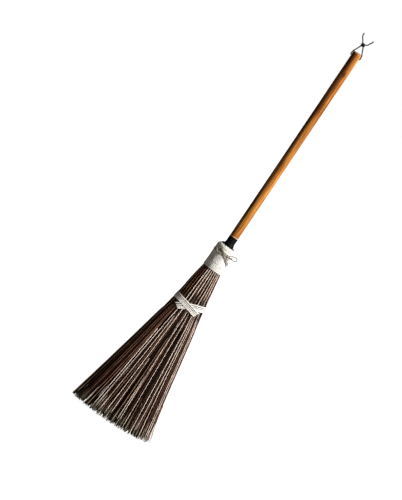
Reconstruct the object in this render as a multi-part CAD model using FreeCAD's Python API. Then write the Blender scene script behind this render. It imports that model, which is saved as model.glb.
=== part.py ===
import FreeCAD, Part
import math
import os

"""Natural stick broom: a wooden handle in a socket, a bundle of sticks gripped by a canvas cuff.

Millimetres. +Z runs up the handle, -Y is the front, and the origin is under the middle of the
stick tips. The twine bow and the crossing of the tape band are on the front.
"""

V = FreeCAD.Vector
X_AXIS = V(1, 0, 0)
Y_AXIS = V(0, 1, 0)
Z_AXIS = V(0, 0, 1)
ORIGIN = V(0, 0, 0)
TINY = 0.01
ARC_SHARE = 0.45                  # of the shorter run, taken up by the arc at a corner of a route
FAR = 400.0                       # half size of a cutting block, larger than anything it trims

# ---- driving dimensions -------------------------------------------------------------------

# handle
HANDLE_R = 12.5
HANDLE_TOP = 1200.0
SHOULDER_Z = 602.0                # where the full diameter ends and the tenon begins
GRIP_TOP = 1150.0                 # the pole is straight up to here, then tapers a little
HANDLE_END_R = 12.25
END_ROUND = 4.0
TENON_R = 9.8
TENON_BOTTOM = 560.0
SHOULDER_CHAMFER = 0.6
HANG_HOLE_Z = 1185.0
HANG_HOLE_R = 2.2
HOLE_MOUTH_R = 3.2

# socket
SLEEVE_R = 12.7
SOCKET_BORE_R = 9.9
BORE_BOTTOM = 559.5
CONE_TOP = 584.0
CONE_R = 15.0
FLANGE_R = 20.0
FLANGE_T = 2.6
FLANGE_Z = 573.8
FLANGE_TILT = 6.0                 # degrees, high on the left
FLANGE_NOTCHES = 10
NOTCH_R = 2.2
SPIGOT_R = 12.2
SPIGOT_BOTTOM = 556.0
CORE_R = 5.0
CORE_TOP = 546.0
CORE_BOTTOM = 499.0

# screw that fixes the handle in the socket, at the back
SCREW_Z = 592.0
SCREW_HEAD_R = 3.2
SCREW_HEAD_T = 1.7
SCREW_SHANK_R = 1.45
SCREW_TIP_Y = 4.0
SCREW_PLAY = 0.15
SLOT_W = 0.8

# cuff
CUFF_BOTTOM = 497.0
CUFF_TOP = 574.0
CUFF_R_BOTTOM = 29.7
CUFF_R_TOP = 27.8
CUFF_WALL = 1.3
# (radius, height) over the shoulder where the cloth is gathered in to the flange, and back inside
CUFF_SHOULDER = ((27.9, 567.4), (26.4, 570.4), (23.4, 573.2), (21.7, 574.0), (20.9, 573.5))
CUFF_LINING = ((20.9, 572.2), (22.6, 571.7), (25.3, 569.2), (26.6, 566.6))

# stick ends inside the cuff, in sectors, and the wires round them
BUTT_COUNT = 8
BUTT_R = 25.6
BUTT_TOP = 566.0
BUTT_BOTTOM = 498.0
SECTOR_GAP = 0.5
PLAY = 0.3
WIRE_R = 0.5
WIRE_Z = {"binding_wire_upper": 556.0, "binding_wire_lower": 513.0}
WIRE_TAIL_R = 0.42
WIRE_TAIL_L = 7.0

# fan of sticks below the cuff: half width and half thickness at the mouth, the band and the tips
FLEX_Z = 497.0                    # height of the line that the fan bends about
FLEX_LIMIT = 15.0                 # degrees
MOUTH_W, MOUTH_T = 29.0, 27.0
BAND_Z, BAND_W, BAND_T = 390.0, 45.0, 24.0
TIP_Z, TIP_W, TIP_T = 12.0, 123.5, 38.0
LATTICE = 0.25                    # spacing of the bunches, as a share of the half width
ROWS_EACH_WAY = 4
TIP_RAGGED = 5.0                  # spread of the tips' heights
RAGGED_STEP = 2.4                 # radians from one bunch to the next in that spread
FLEX_ROOM = 1.0                   # left above the sticks when the fan is bent as far as it goes
MOUTH_BUNCH = (3.0, 2.8)          # half width and half thickness of one bunch of sticks
BAND_BUNCH = (4.4, 1.9)
TIP_BUNCH = (12.6, 0.7)

# tape band tied round the fan
TAPE_W = 17.0
TAPE_T = 1.2
TAPE_LIFT = 0.6                   # room between the sticks and the tape
LAYER = 1.5                       # from one layer of tape to the next
BAND_LOW, BAND_HIGH = 350.0, 406.0
BAND_LEFT_Z, BAND_RIGHT_Z = 390.5, 395.0   # middle of the tape at the left and the right edge
OVER_END = [(28.5, 364), (36.5, 380.5)]    # corners of the two cut ends, as (x, z)
UNDER_END = [(-3.5, 371.5), (-22, 358), (-32.5, 375)]

# twine round the cuff and its bow
TWINE_R = 0.9
WRAP_Z = (551.2, 549.0)
KNOT_X, KNOT_Z = 4.5, 553.0
KNOT_HALF = (3.6, 2.6, 5.4)
KNOT_GAP = (-0.2, 9.2)            # stretch of x that the wrap leaves free for the knot

# hanging cord
CORD_R = 1.6
CORD_KNOT_HALF = (5.6, 4.4, 5.6)
CORD_KNOT_Z = 1225.0

# each route is a list of points, from the end that is held to the free end
HANG_RIGHT = [(0.1, 0, 1185), (14.4, 0, 1185), (14.5, 0, 1191.6), (14, 0, 1197.6), (11.2, 0, 1203),
              (8.2, 0, 1208.8), (6, 0, 1215.2), (2.6, 0, 1221.4)]
HANG_LEFT = [(-0.1, 0, 1185), (-14.5, 0, 1185), (-14.6, 0, 1191.4), (-14.2, 0, 1197.4),
             (-11.4, 0, 1203), (-8.4, 0, 1208.6), (-6.2, 0, 1215), (-2.8, 0, 1221)]
TAIL_LEFT = [(-1.2, -0.8, 1225.6), (-5.4, -1.6, 1232), (-10, -0.6, 1238.4), (-14.2, 1, 1244.4),
             (-16, 0.6, 1249), (-14.2, -0.6, 1253.6)]
TAIL_RIGHT = [(0.6, 1.2, 1225.6), (7, 2, 1228.8), (11.8, 0.6, 1232.6), (13, -1.4, 1238.6),
              (17.6, -1, 1242.2), (18, 1.4, 1248)]

# on the cuff a point is (x, distance from the axis, z), and in the air it is (x, y, z)
LOOP_LEFT = [(2.5, 31.6, 555.9), (-4.5, 31.2, 559.9), (-11, 30.2, 562.5), (-16.8, 30.4, 561.7),
             (-21, 31.8, 557.9), (-21, 32, 552.5), (-16.8, 31.6, 548.7), (-11, 31.5, 547.3),
             (-4.5, 31.5, 548.5), (2.5, 31.6, 551.1)]
LOOP_RIGHT = [(6.8, -32.6, 555.4), (13.4, -32.8, 554.8), (19.6, -32.2, 556.2), (25.4, -31.2, 559.2),
              (31.4, -30.4, 561.6), (37.4, -29.8, 562), (41.2, -29.4, 559), (41.6, -29, 554.6),
              (38.4, -28.6, 551.2), (32.6, -28.4, 550.2), (26.4, -28.8, 551.2), (20, -29.4, 552),
              (13.2, -30.4, 551.2), (7, -31.4, 552)]
TAIL_LONG = [(4.4, 31.6, 549.5), (8.4, 31.2, 544.7), (14, 30.8, 540.9), (18.4, 30.8, 534.9),
             (23.8, 31, 531.1), (25.8, 31, 525.9)]
TAIL_SHORT = [(6.8, 31.8, 549.5), (11.8, 31.4, 547.8), (15.6, 31.2, 544.2), (19.2, 31.2, 541.6),
              (21.6, 31.2, 537.4), (25.2, 31.4, 535), (27.4, 31.6, 530.8)]


# ---- small tools --------------------------------------------------------------------------

def save(name, shape):
    """Write one node, after a check that every solid in it is sound."""
    for solid in shape.Solids:
        if not solid.isValid() or solid.Volume <= 0:
            raise ValueError(name + " has an unsound solid")
    shape.exportStep("parts/" + name + ".step")
    print(name, len(shape.Solids), "solid(s),", round(shape.Volume), "mm3")


def group(shapes):
    return Part.makeCompound(shapes)


def block(x0, x1, y0, y1, z0, z1):
    return Part.makeBox(x1 - x0, y1 - y0, z1 - z0, V(x0, y0, z0))


def revolved(profile, angle=360.0):
    """Turn a closed outline of (radius, z) points about the handle's axis."""
    points = [V(r, 0, z) for r, z in profile]
    face = Part.Face(Part.makePolygon(points + points[:1]))
    return face.revolve(ORIGIN, Z_AXIS, angle)


def between(z, z_a, a, z_b, b):
    """The value at z on the straight line from a at z_a to b at z_b."""
    return a + (b - a) * (z - z_a) / (z_b - z_a)


def cuff_radius(z):
    return between(z, CUFF_BOTTOM, CUFF_R_BOTTOM, CUFF_TOP, CUFF_R_TOP)


def half_size(z):
    """Half width and half thickness of the fan at height z."""
    if z > BAND_Z:
        width = between(z, FLEX_Z, MOUTH_W, BAND_Z, BAND_W)
        return width, between(z, FLEX_Z, MOUTH_T, BAND_Z, BAND_T)
    width = between(z, BAND_Z, BAND_W, TIP_Z, TIP_W)
    return width, between(z, BAND_Z, BAND_T, TIP_Z, TIP_T)


def ellipse(x, y, z, half_w, half_t):
    curve = Part.Ellipse(V(x, y, z), half_w, half_t)
    return Part.Wire([curve.toShape()])


def ellipsoid(centre, half):
    """A ball stretched to three half sizes, moved to its place."""
    ball = Part.makeSphere(1.0)
    stretch = FreeCAD.Matrix()
    stretch.scale(V(*half))
    stretched = ball.transformGeometry(stretch)
    stretched.translate(V(*centre))
    return stretched


def on_cuff(route):
    """Turn (x, distance from the axis, z) points on the front of the cuff into (x, y, z)."""
    return [(x, -math.sqrt(r * r - x * x), z) for x, r, z in route]


def tube(name, route, radius):
    """A round tube along straight runs joined by tangent arcs, each as large as its runs allow."""
    points = [V(*p) for p in route]
    edges = []
    start = points[0]
    radii = []
    for before, corner, after in zip(points, points[1:], points[2:]):
        run_in = corner - before
        run_out = after - corner
        turn = run_in.getAngle(run_out)
        cut = ARC_SHARE * min(run_in.Length, run_out.Length)
        radii.append(cut / math.tan(turn / 2))
        to_before = (before - corner).normalize()
        to_after = (after - corner).normalize()
        arc_start = corner + to_before * cut
        arc_end = corner + to_after * cut
        inward = (to_before + to_after).normalize()
        centre_distance = math.hypot(cut, radii[-1])
        middle = corner + inward * (centre_distance - radii[-1])
        edges.append(Part.LineSegment(start, arc_start).toShape())
        edges.append(Part.Arc(arc_start, middle, arc_end).toShape())
        start = arc_end
    edges.append(Part.LineSegment(start, points[-1]).toShape())
    path = Part.Wire(edges)
    section = Part.Wire([Part.Circle(points[0], points[1] - points[0], radius).toShape()])
    solid = path.makePipeShell([section], True, False)
    share = solid.Volume / (math.pi * radius * radius * path.Length)
    print(name, "length", round(path.Length, 1), "volume share", round(share, 3),
          "radii", [round(r, 1) for r in radii])
    return solid


# ---- handle end ---------------------------------------------------------------------------

def handle():
    """Pole with a tenon below and a rounded, slightly tapered end with the hanging hole."""
    pole = revolved([
        (0, TENON_BOTTOM), (TENON_R, TENON_BOTTOM), (TENON_R, SHOULDER_Z),
        (HANDLE_R - SHOULDER_CHAMFER, SHOULDER_Z), (HANDLE_R, SHOULDER_Z + SHOULDER_CHAMFER),
        (HANDLE_R, GRIP_TOP), (HANDLE_END_R, HANDLE_TOP), (0, HANDLE_TOP)])
    end_edges = [e for e in pole.Edges
                 if abs(e.BoundBox.ZMin - HANDLE_TOP) < TINY and e.BoundBox.XLength > HANDLE_R]
    pole = pole.makeFillet(END_ROUND, end_edges)
    hole = Part.makeCylinder(HANG_HOLE_R, 2 * FAR, V(-FAR, 0, HANG_HOLE_Z), X_AXIS)
    pole = pole.cut(hole)
    for side in (-1, 1):
        depth = HOLE_MOUTH_R - HANG_HOLE_R
        start = V(side * (HANDLE_END_R - depth), 0, HANG_HOLE_Z)
        mouth = Part.makeCone(HANG_HOLE_R, HOLE_MOUTH_R + depth, 2 * depth, start, X_AXIS * side)
        pole = pole.cut(mouth)
    pilot = Part.makeCylinder(SCREW_SHANK_R + PLAY / 3, FAR, V(0, SCREW_TIP_Y - PLAY, SCREW_Z), Y_AXIS)
    return pole.cut(pilot.common(block(-FAR, FAR, 0, FAR, TENON_BOTTOM, SHOULDER_Z)))


def hang_knot():
    return ellipsoid((0, 0, CORD_KNOT_Z), CORD_KNOT_HALF)


# ---- socket and what is inside the cuff ---------------------------------------------------

def socket():
    """Sleeve for the tenon, a notched flange over the cuff, and a core among the stick ends."""
    body = revolved([
        (0, CORE_BOTTOM), (CORE_R, CORE_BOTTOM), (CORE_R, CORE_TOP), (SPIGOT_R, SPIGOT_BOTTOM),
        (SPIGOT_R, FLANGE_Z), (CONE_R, FLANGE_Z), (CONE_R, FLANGE_Z + FLANGE_T), (SLEEVE_R, CONE_TOP),
        (SLEEVE_R, SHOULDER_Z - SHOULDER_CHAMFER), (SLEEVE_R - SHOULDER_CHAMFER, SHOULDER_Z),
        (0, SHOULDER_Z)])
    flange = Part.makeCylinder(FLANGE_R, FLANGE_T, V(0, 0, -FLANGE_T / 2))
    for index in range(FLANGE_NOTCHES):
        angle = 2 * math.pi * (index + 0.5) / FLANGE_NOTCHES
        reach = FLANGE_R + NOTCH_R / 3
        centre = V(reach * math.cos(angle), reach * math.sin(angle), -FLANGE_T)
        flange = flange.cut(Part.makeCylinder(NOTCH_R, 2 * FLANGE_T, centre))
    flange.rotate(ORIGIN, Y_AXIS, FLANGE_TILT)
    flange.translate(V(0, 0, FLANGE_Z))
    bore = Part.makeCylinder(SOCKET_BORE_R, FAR, V(0, 0, BORE_BOTTOM))
    screw_hole = Part.makeCylinder(SCREW_SHANK_R + SCREW_PLAY, FAR, V(0, 0, SCREW_Z), Y_AXIS)
    return body.fuse(flange).cut(bore).cut(screw_hole).removeSplitter()


def socket_screw():
    """Round-headed screw with a slot, driven from the back into the tenon."""
    seat_y = SLEEVE_R + SCREW_PLAY / 3
    shank = Part.makeCylinder(SCREW_SHANK_R, seat_y - SCREW_TIP_Y, V(0, SCREW_TIP_Y, SCREW_Z), Y_AXIS)
    head = Part.makeCylinder(SCREW_HEAD_R, SCREW_HEAD_T, V(0, seat_y, SCREW_Z), Y_AXIS)
    rim = [e for e in head.Edges if e.BoundBox.YMin > seat_y + SCREW_HEAD_T - TINY]
    head = head.makeFillet(SCREW_HEAD_T * 0.6, rim)
    slot_y = seat_y + SCREW_HEAD_T / 2
    slot = block(-SLOT_W / 2, SLOT_W / 2, slot_y, FAR, SCREW_Z - SCREW_HEAD_R, SCREW_Z + SCREW_HEAD_R)
    return shank.fuse(head.cut(slot)).removeSplitter()


def stick_butts():
    """The upper ends of the sticks, pressed round the core, in equal sectors."""
    core = CORE_R + PLAY
    spigot = SPIGOT_R + PLAY
    angle = 360.0 / BUTT_COUNT
    gap = math.degrees(SECTOR_GAP / BUTT_R)
    sector = revolved([(core, BUTT_BOTTOM), (BUTT_R, BUTT_BOTTOM), (BUTT_R, BUTT_TOP),
                       (spigot, BUTT_TOP), (spigot, SPIGOT_BOTTOM), (core, CORE_TOP)], angle - gap)
    butts = {}
    for index in range(BUTT_COUNT):
        piece = sector.copy()
        piece.rotate(ORIGIN, Z_AXIS, index * angle)
        butts["stick_butts_%d" % (index + 1)] = piece
    return butts


def binding_wire(z):
    """A wire ring round the stick ends, with its twisted tail laid upwards at the back."""
    ring_r = BUTT_R + WIRE_R + PLAY / 3
    ring = Part.makeTorus(ring_r, WIRE_R, V(0, 0, z))
    tail_y = BUTT_R + WIRE_TAIL_R + PLAY / 2
    tail = Part.makeCylinder(WIRE_TAIL_R, WIRE_TAIL_L, V(0, tail_y, z))
    return ring.fuse(tail).removeSplitter()


def cuff():
    """Canvas sleeve, tighter at the top, where it is gathered in over the stick ends."""
    return revolved([(CUFF_R_BOTTOM, CUFF_BOTTOM), *CUFF_SHOULDER, *CUFF_LINING,
                     (CUFF_R_BOTTOM - CUFF_WALL, CUFF_BOTTOM)])


# ---- twine --------------------------------------------------------------------------------

def twine_wrap():
    """Two turns of twine round the cuff, open where the knot sits."""
    turns = []
    for z in WRAP_Z:
        ring_r = cuff_radius(z) + TWINE_R + PLAY / 2
        left = math.degrees(math.asin(KNOT_GAP[0] / ring_r)) - 90.0
        right = math.degrees(math.asin(KNOT_GAP[1] / ring_r)) - 90.0
        section = Part.Circle(V(ring_r, 0, z), Y_AXIS, TWINE_R).toShape()
        ring = Part.Face(Part.Wire([section])).revolve(ORIGIN, Z_AXIS, 360.0 - (right - left))
        ring.rotate(ORIGIN, Z_AXIS, right)
        turns.append(ring)
    return group(turns)


def bow_knot():
    knot_y = -(cuff_radius(KNOT_Z) + KNOT_HALF[1] + PLAY)
    return ellipsoid((KNOT_X, knot_y, KNOT_Z), KNOT_HALF)


# ---- fan ----------------------------------------------------------------------------------

def bunch(u, v, order):
    """One bunch of sticks, from the cuff's mouth to the tips, fanning out as it goes."""
    reach = abs(v) * (MOUTH_T - MOUTH_BUNCH[1]) + MOUTH_BUNCH[1]
    top_z = FLEX_Z - reach * math.tan(math.radians(FLEX_LIMIT)) - FLEX_ROOM
    tip_z = TIP_Z * u * u + TIP_RAGGED * (0.5 - 0.5 * math.cos(RAGGED_STEP * order))
    sections = []
    for z, (half_w, half_t) in ((top_z, MOUTH_BUNCH), (BAND_Z, BAND_BUNCH), (tip_z, TIP_BUNCH)):
        width, thickness = half_size(max(z, TIP_Z))
        sections.append(ellipse(u * (width - half_w), v * (thickness - half_t), z, half_w, half_t))
    return Part.makeLoft(sections, True, True)


def stick_rows():
    """Rows of bunches from front to back, each row set half a space from the next."""
    rows = {}
    for row in range(-ROWS_EACH_WAY, ROWS_EACH_WAY + 1):
        v = row * LATTICE * math.sqrt(3) / 2
        shift = 0.5 if row % 2 else 0.0
        places = []
        for column in range(-5, 5):
            u = (column + shift) * LATTICE
            if u * u + v * v <= 1.0 + 1e-6:
                places.append((u, column))
        if not row % 2 and places[-1][0] < abs(places[0][0]):
            places.append((-places[0][0], -places[0][1]))
        bunches = [bunch(u, v, column + 3 * row) for u, column in places]
        rows["stick_row_%d" % (row + ROWS_EACH_WAY + 1)] = group(bunches)
    return rows


def tape_shell(layer):
    """A closed skin of tape thickness that follows the fan's outside, a number of layers out."""
    skins = []
    for offset in (TAPE_LIFT + layer * LAYER, TAPE_LIFT + layer * LAYER + TAPE_T):
        sections = []
        for z in (BAND_LOW, BAND_Z, BAND_HIGH):
            width, thickness = half_size(z)
            sections.append(ellipse(0, 0, z, width + offset, thickness + offset))
        skins.append(Part.makeLoft(sections, True, True))
    return skins[1].cut(skins[0])


def outline_prism(corners, y0, y1):
    """A block over an outline in the X-Z plane, from y0 to y1."""
    points = [V(x, y0, z) for x, z in corners]
    return Part.Face(Part.makePolygon(points + points[:1])).extrude(V(0, y1 - y0, 0))


def tie_band():
    """The tape round the back of the fan, and its two ends crossed at the front."""
    half = TAPE_W / 2
    left, right = BAND_LEFT_Z, BAND_RIGHT_Z
    past_left = between(-FAR, -BAND_W, left, BAND_W, right)
    past_right = between(FAR, -BAND_W, left, BAND_W, right)
    back_outline = [(-FAR, past_left - half), (FAR, past_right - half),
                    (FAR, past_right + half), (-FAR, past_left + half)]
    over_outline = [(-FAR, left - half), (-BAND_W, left - half), *OVER_END,
                    (-BAND_W, left + half), (-FAR, left + half)]
    under_outline = [(FAR, right - half), (BAND_W, right - half), *UNDER_END,
                     (BAND_W, right + half), (FAR, right + half)]
    return {"tie_band_back": tape_shell(0).common(outline_prism(back_outline, PLAY, FAR)),
            "tie_band_end_over": tape_shell(1).common(outline_prism(over_outline, -FAR, -PLAY)),
            "tie_band_end_under": tape_shell(0).common(outline_prism(under_outline, -FAR, -PLAY))}


# ---- write the parts ----------------------------------------------------------------------

def main():
    os.makedirs("parts", exist_ok=True)
    save("handle", handle())
    save("socket", socket())
    save("socket_screw", socket_screw())
    for name, shape in stick_butts().items():
        save(name, shape)
    for name, z in WIRE_Z.items():
        save(name, binding_wire(z))
    save("cuff", cuff())
    save("twine_wrap", twine_wrap())
    save("bow_knot", bow_knot())
    save("bow_loop_left", tube("bow_loop_left", on_cuff(LOOP_LEFT), TWINE_R))
    save("bow_loop_right", tube("bow_loop_right", LOOP_RIGHT, TWINE_R))
    save("bow_tail_long", tube("bow_tail_long", on_cuff(TAIL_LONG), TWINE_R))
    save("bow_tail_short", tube("bow_tail_short", on_cuff(TAIL_SHORT), TWINE_R))
    for name, shape in stick_rows().items():
        save(name, shape)
    for name, shape in tie_band().items():
        save(name, shape)
    save("hang_cord_left", tube("hang_cord_left", HANG_LEFT, CORD_R))
    save("hang_cord_right", tube("hang_cord_right", HANG_RIGHT, CORD_R))
    save("hang_tail_left", tube("hang_tail_left", TAIL_LEFT, CORD_R))
    save("hang_tail_right", tube("hang_tail_right", TAIL_RIGHT, CORD_R))
    save("hang_knot", hang_knot())


main()
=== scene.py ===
import math
import random

import bpy
from mathutils import Matrix, Vector, noise


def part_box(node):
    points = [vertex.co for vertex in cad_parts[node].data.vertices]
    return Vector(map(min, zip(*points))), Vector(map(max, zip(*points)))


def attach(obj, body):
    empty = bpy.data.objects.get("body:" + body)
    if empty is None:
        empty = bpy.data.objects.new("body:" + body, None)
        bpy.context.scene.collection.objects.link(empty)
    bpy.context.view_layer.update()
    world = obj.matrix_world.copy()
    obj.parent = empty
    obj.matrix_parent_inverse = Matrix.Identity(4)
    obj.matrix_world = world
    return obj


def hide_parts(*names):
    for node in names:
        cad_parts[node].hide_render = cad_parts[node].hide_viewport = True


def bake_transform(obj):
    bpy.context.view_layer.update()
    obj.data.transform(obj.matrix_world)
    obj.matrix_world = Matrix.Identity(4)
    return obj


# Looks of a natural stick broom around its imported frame. Metres, +Z up the handle, front at -Y.

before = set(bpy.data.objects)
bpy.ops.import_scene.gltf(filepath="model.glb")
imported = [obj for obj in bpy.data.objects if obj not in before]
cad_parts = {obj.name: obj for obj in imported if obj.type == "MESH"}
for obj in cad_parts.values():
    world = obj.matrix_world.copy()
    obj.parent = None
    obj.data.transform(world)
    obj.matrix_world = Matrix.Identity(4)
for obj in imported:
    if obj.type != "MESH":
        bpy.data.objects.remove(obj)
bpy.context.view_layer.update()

MM = 0.001
draw = random.Random(20)

# ---- sizes taken from the frame

cuff_low, cuff_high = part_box("cuff")
CUFF_BOTTOM, CUFF_TOP = cuff_low.z, cuff_high.z
CUFF_R_BOTTOM = cuff_high.x
CUFF_R_TOP = CUFF_R_BOTTOM - 1.9 * MM
FLEX_Z = CUFF_BOTTOM
SHOULDER_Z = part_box("socket")[1].z
HANDLE_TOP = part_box("handle")[1].z


# ---- camera, lights and stage

VIEW_LONG_SIDE = 1.3423
LEAN = math.radians(33.89)        # how far the broom leans to the right in the camera's view
ELEVATION = math.radians(6.5)
LENS, SENSOR = 600.0, 36.0
AIM = Vector((-0.0543, 0.0, 0.5237))
FLOOR_HALF = 12.0


def make_camera():
    data = bpy.data.cameras.new("camera")
    data.lens = LENS
    data.sensor_width = SENSOR
    camera = bpy.data.objects.new("camera", data)
    bpy.context.scene.collection.objects.link(camera)
    back = Vector((0, -math.cos(ELEVATION), math.sin(ELEVATION)))
    broom_up = Vector((0, math.sin(ELEVATION), math.cos(ELEVATION)))
    right = Vector((1, 0, 0)) * math.cos(LEAN) + broom_up * math.sin(LEAN)
    up = back.cross(right)
    distance = VIEW_LONG_SIDE * LENS / SENSOR
    turned = Matrix((right, up, back)).transposed().to_4x4()
    camera.matrix_world = Matrix.Translation(AIM + back * distance) @ turned
    bpy.context.scene.camera = camera


def soft_sun(name, azimuth, elevation, spread, strength, colour=(1.0, 1.0, 1.0)):
    """An even lamp towards the broom, azimuth 0 at the front and positive to the right."""
    data = bpy.data.lights.new(name, "SUN")
    data.angle = math.radians(spread)
    data.energy = strength
    data.color = colour
    lamp = bpy.data.objects.new(name, data)
    bpy.context.scene.collection.objects.link(lamp)
    a, e = math.radians(azimuth), math.radians(elevation)
    out = Vector((math.sin(a) * math.cos(e), -math.cos(a) * math.cos(e), math.sin(e)))
    lamp.location = Vector((0, 0, 0.6)) + out * 3.0
    lamp.rotation_mode = "QUATERNION"
    lamp.rotation_quaternion = out.to_track_quat("Z", "Y")


def make_stage():
    """A plain pale floor, a white surround that only the camera sees, and three soft lamps."""
    scene = bpy.context.scene
    scene.view_settings.view_transform = "Standard"
    world = bpy.data.worlds.new("surround")
    scene.world = world
    world.use_nodes = True
    world.node_tree.nodes["Background"].inputs["Color"].default_value = (1, 1, 1, 1)
    world.node_tree.nodes["Background"].inputs["Strength"].default_value = 1.0
    world.cycles_visibility.diffuse = False
    world.cycles_visibility.glossy = False
    half = FLOOR_HALF
    corners = ((-half, -half), (half, -half), (half, half), (-half, half))
    mesh = bpy.data.meshes.new("floor")
    mesh.from_pydata([(x, y, -0.5 * MM) for x, y in corners], [], [(0, 1, 2, 3)])
    floor = bpy.data.objects.new("floor", mesh)
    scene.collection.objects.link(floor)
    mesh.materials.append(Look("floor").finish({
        "Roughness": 0.9, "Base Color": (0.14, 0.14, 0.14), "Emission Color": (1, 1, 1),
        "Emission Strength": 0.93}))
    floor.visible_diffuse = False
    floor.visible_glossy = False
    soft_sun("key", azimuth=62, elevation=24, spread=8, strength=5.7)
    soft_sun("fill", azimuth=-30, elevation=16, spread=60, strength=0.60, colour=(1.0, 0.93, 0.84))
    soft_sun("back", azimuth=175, elevation=40, spread=40, strength=2.0)


# ---- materials

class Look:
    """A material, with short calls for the nodes that the looks below share."""

    def __init__(self, name):
        self.material = bpy.data.materials.new(name)
        self.material.use_nodes = True
        self.nodes = self.material.node_tree.nodes
        self.nodes.clear()
        self.shader = self.new("BsdfPrincipled")
        self.put(self.new("OutputMaterial"), {0: self.shader.outputs[0]})

    def new(self, kind):
        return self.nodes.new("ShaderNode" + kind)

    def put(self, node, inputs):
        """Fill a node's inputs, each with a number, a colour, a vector or another node's output."""
        for key, value in inputs.items():
            socket = node.inputs[key]
            if isinstance(value, tuple) and socket.type == "RGBA":
                socket.default_value = (*value, 1)
            elif isinstance(value, (int, float, tuple)):
                socket.default_value = value
            elif value is not None:
                self.material.node_tree.links.new(value, socket)
        return node.outputs

    def finish(self, inputs):
        """Fill the inputs of the shader itself. Gives the material."""
        self.put(self.shader, inputs)
        return self.material

    def place(self, stretch=(1, 1, 1), source="Object"):
        """Coordinates in metres, stretched along each axis."""
        origin = self.new("TexCoord").outputs[source]
        return self.put(self.new("Mapping"), {"Scale": stretch, "Vector": origin})[0]

    def noise(self, place, scale, detail=3.0, rough=0.55, warp=0.0):
        return self.put(self.new("TexNoise"), {
            "Scale": scale, "Detail": detail, "Roughness": rough, "Distortion": warp,
            "Vector": place})["Fac"]

    def wave(self, place, scale, direction):
        texture = self.new("TexWave")
        texture.bands_direction = direction
        return self.put(texture, {"Scale": scale, "Vector": place})["Fac"]

    def split(self, place):
        return self.put(self.new("SeparateXYZ"), {0: place})

    def stored(self, name):
        attribute = self.new("Attribute")
        attribute.attribute_name = name
        return attribute.outputs["Fac"]

    def ramp(self, value, stops):
        """A colour or a grey level for each value: stops are (position, colour or grey)."""
        ramp = self.new("ValToRGB")
        elements = ramp.color_ramp.elements
        while len(elements) < len(stops):
            elements.new(0.5)
        for element, (position, colour) in zip(elements, stops):
            element.position = position
            element.color = (*colour, 1) if isinstance(colour, tuple) else (colour, colour, colour, 1)
        return self.put(ramp, {0: value})[0]

    def calc(self, operation, first, second=0.0):
        """first and second are outputs or plain numbers."""
        node = self.new("Math")
        node.operation = operation
        return self.put(node, {0: first, 1: second})[0]

    def plus(self, first, second):
        return self.calc("ADD", first, second)

    def times(self, first, second):
        return self.calc("MULTIPLY", first, second)

    def mix(self, factor, first, second):
        """Mix of two colours, each an output or a plain colour."""
        node = self.new("Mix")
        node.data_type = "RGBA"
        return self.put(node, {0: factor, 6: first, 7: second})[2]

    def distance(self, place, spot):
        node = self.new("VectorMath")
        node.operation = "DISTANCE"
        return self.put(node, {0: place, 1: spot})["Value"]

    def bump(self, height, depth, strength, under=None):
        return self.put(self.new("Bump"), {
            "Distance": depth, "Strength": strength, "Height": height, "Normal": under})[0]


WOOD_KNOT = (0.0022, -0.0122, 1.1300)
KNOT_SQUEEZE = 0.55               # the wood's knot is higher than it is wide


def varnished_wood():
    """Amber varnished pole: straight grain, darker patches, painted shade down its left side, one small
    knot, a bare lower rim.
    """
    look = Look("varnished_wood")
    place = look.place()
    grain = look.noise(look.place((1, 1, 0.03)), 300, 5, 0.62, 0.4)
    patches = look.noise(look.place((1, 1, 0.14)), 52, 3, 0.5)
    fibres = look.noise(look.place((1, 1, 0.02)), 1900, 3, 0.6)
    tone = look.plus(look.times(grain, 0.48), look.times(patches, 0.52))
    colour = look.ramp(tone, [(0.36, (0.24, 0.060, 0.008)), (0.46, (0.44, 0.135, 0.016)),
                              (0.54, (0.66, 0.240, 0.032)), (0.64, (0.86, 0.400, 0.075))])
    colour = look.mix(look.ramp(fibres, [(0.35, 0.45), (0.60, 0.0)]), colour, (0.22, 0.06, 0.01))
    # painted shade: the left side is darkened as if it lay in shadow, with an uneven border
    side = look.plus(look.times(look.split(place)[0], 30.0), look.times(grain, 0.9))
    side = look.plus(side, look.times(patches, 0.5))
    colour = look.mix(look.ramp(side, [(0.34, 0.92), (0.68, 0.50), (0.98, 0.0)]), colour,
                      (0.09, 0.020, 0.002))
    # the knot: a small dark oval
    x, y, z = WOOD_KNOT
    knot = look.distance(look.place((1, 1, KNOT_SQUEEZE)), (x, y, z * KNOT_SQUEEZE))
    knot_ring = look.ramp(look.plus(knot, look.times(look.noise(place, 700, 2), 0.0012)),
                          [(0.0030, 1.0), (0.0052, 0.0)])
    colour = look.mix(knot_ring, colour, (0.055, 0.022, 0.008))
    height = look.split(place)[2]
    rim = look.ramp(look.times(look.calc("SUBTRACT", height, SHOULDER_Z - 0.5 * MM), 100),
                    [(0.0, 1.0), (0.22, 1.0), (0.30, 0.0)])
    colour = look.mix(rim, colour, (0.78, 0.56, 0.30))
    end_tone = look.ramp(look.times(look.calc("SUBTRACT", HANDLE_TOP, height), 100),
                         [(0.0, 1.0), (0.25, 0.7), (0.55, 0.0)])
    colour = look.mix(look.times(end_tone, 0.45), colour, (0.40, 0.21, 0.09))
    gloss = look.noise(look.place((1, 1, 0.2)), 260, 4)
    return look.finish({
        "Base Color": colour, "Roughness": look.ramp(gloss, [(0.3, 0.34), (0.7, 0.50)]),
        "Normal": look.bump(fibres, 0.12 * MM, 0.35, look.bump(grain, 0.3 * MM, 0.25)),
        "Coat Weight": 0.14, "Coat Roughness": 0.25, "Specular IOR Level": 0.25})


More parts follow.
